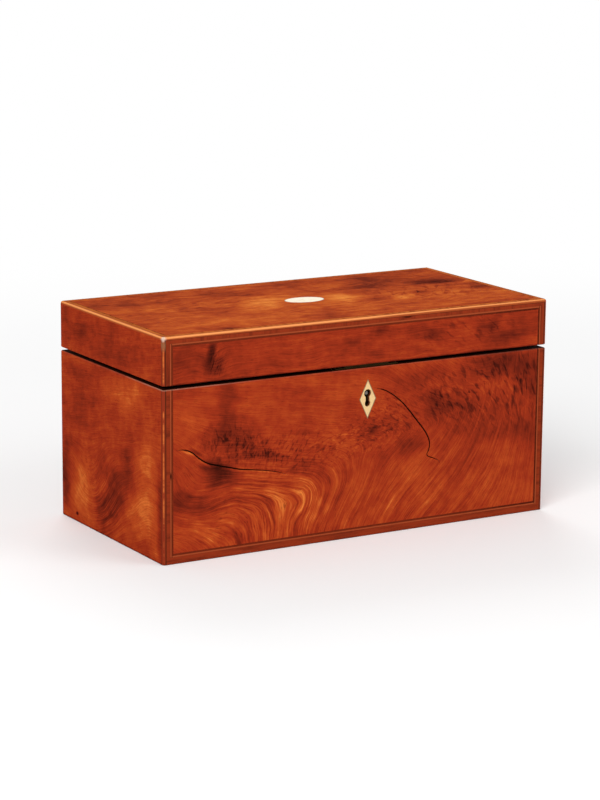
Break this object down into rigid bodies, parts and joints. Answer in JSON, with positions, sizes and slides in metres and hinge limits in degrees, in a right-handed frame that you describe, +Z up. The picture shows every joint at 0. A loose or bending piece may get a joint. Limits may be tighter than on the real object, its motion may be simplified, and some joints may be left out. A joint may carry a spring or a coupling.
{
  "type": "tea caddy",
  "caption": "Rectangular veneered wooden box with a hinged locking lid, covered tea compartments and a glass mixing bowl in a central well.",
  "frame": {"origin": "middle of the case's underside", "axes": "+X to the right along the front, +Y to the back, +Z up; the front faces -Y"},
  "size_m": [0.305, 0.155, 0.153],
  "materials": {
    "flame_mahogany": "old glossy polish",
    "side_mahogany": "old glossy polish",
    "top_mahogany": "old glossy polish",
    "crossbanding": "old glossy polish",
    "boxwood": "polished",
    "ebony_line": "polished",
    "case_boards": "planed, waxed",
    "inner_mahogany": "satin polish",
    "bone": "polished bone, aged cream",
    "brass": "aged brass",
    "iron": "dark filed iron",
    "lead_foil": "dull beaten lead foil",
    "green_baize": "felted wool",
    "cut_glass": "clear, cut and polished"
  },
  "bodies": {
    "case": {"front_veneer": "flame_mahogany", "left_veneer": "side_mahogany", "right_veneer": "side_mahogany", "back_veneer": "side_mahogany", "front_crossband": "crossbanding", "front_light_line": "boxwood", "front_corner_strings": "boxwood", "front_dark_line": "ebony_line", "bottom_board": "case_boards", "body_front": "case_boards", "body_back": "case_boards", "body_left": "case_boards", "body_right": "case_boards", "partition_left": "inner_mahogany", "partition_right": "inner_mahogany", "cover_ledges": "inner_mahogany", "well_collar": "inner_mahogany", "escutcheon": "bone", "hinge_left_body_leaf": "brass", "hinge_right_body_leaf": "brass", "lock_plate": "brass", "hinge_left_pin": "iron", "hinge_right_pin": "iron", "lock_case": "iron", "lock_key_pin": "iron", "hinge_body_screws": "iron", "lock_screws": "iron", "foil_lining_left": "lead_foil", "foil_lining_right": "lead_foil", "well_baize": "green_baize"},
    "lid": {"lid_front_veneer": "flame_mahogany", "lid_left_veneer": "side_mahogany", "lid_right_veneer": "side_mahogany", "lid_back_veneer": "side_mahogany", "lid_top_veneer": "top_mahogany", "lid_front_crossband": "crossbanding", "lid_top_crossband": "crossbanding", "lid_front_light_line": "boxwood", "lid_corner_strings": "boxwood", "lid_top_strings": "boxwood", "lid_front_dark_line": "ebony_line", "lid_top_dark_line": "ebony_line", "lid_front": "case_boards", "lid_back": "case_boards", "lid_left": "case_boards", "lid_right": "case_boards", "lid_top_board": "case_boards", "lid_plaque": "bone", "lid_lining": "green_baize", "hinge_left_lid_leaf": "brass", "hinge_right_lid_leaf": "brass", "hinge_lid_screws": "iron", "link_plate": "brass", "link_screws": "iron"},
    "lock_bolt": {"lock_bolt": "iron"},
    "cover_left": {"cover_left": "inner_mahogany", "knob_left": "bone"},
    "cover_right": {"cover_right": "inner_mahogany", "knob_right": "bone"},
    "bowl": {"bowl": "cut_glass"}
  },
  "joints": [
    {"name": "lid_hinge", "type": "hinge", "parent": "case", "child": "lid", "pos_m": [0, 0.07558, 0.1192], "axis": [-1, 0, 0], "range_deg": [0, 98]},
    {"name": "bolt_throw", "type": "slide", "parent": "case", "child": "lock_bolt", "axis": [1, 0, 0], "range_m": [0, 0.005]},
    {"name": "cover_left_lift", "type": "slide", "parent": "case", "child": "cover_left", "axis": [0, 0, 1], "range_m": [0, 0.02]},
    {"name": "cover_right_lift", "type": "slide", "parent": "case", "child": "cover_right", "axis": [0, 0, 1], "range_m": [0, 0.02]},
    {"name": "bowl_lift", "type": "slide", "parent": "case", "child": "bowl", "axis": [0, 0, 1], "range_m": [0, 0.02]}
  ]
}
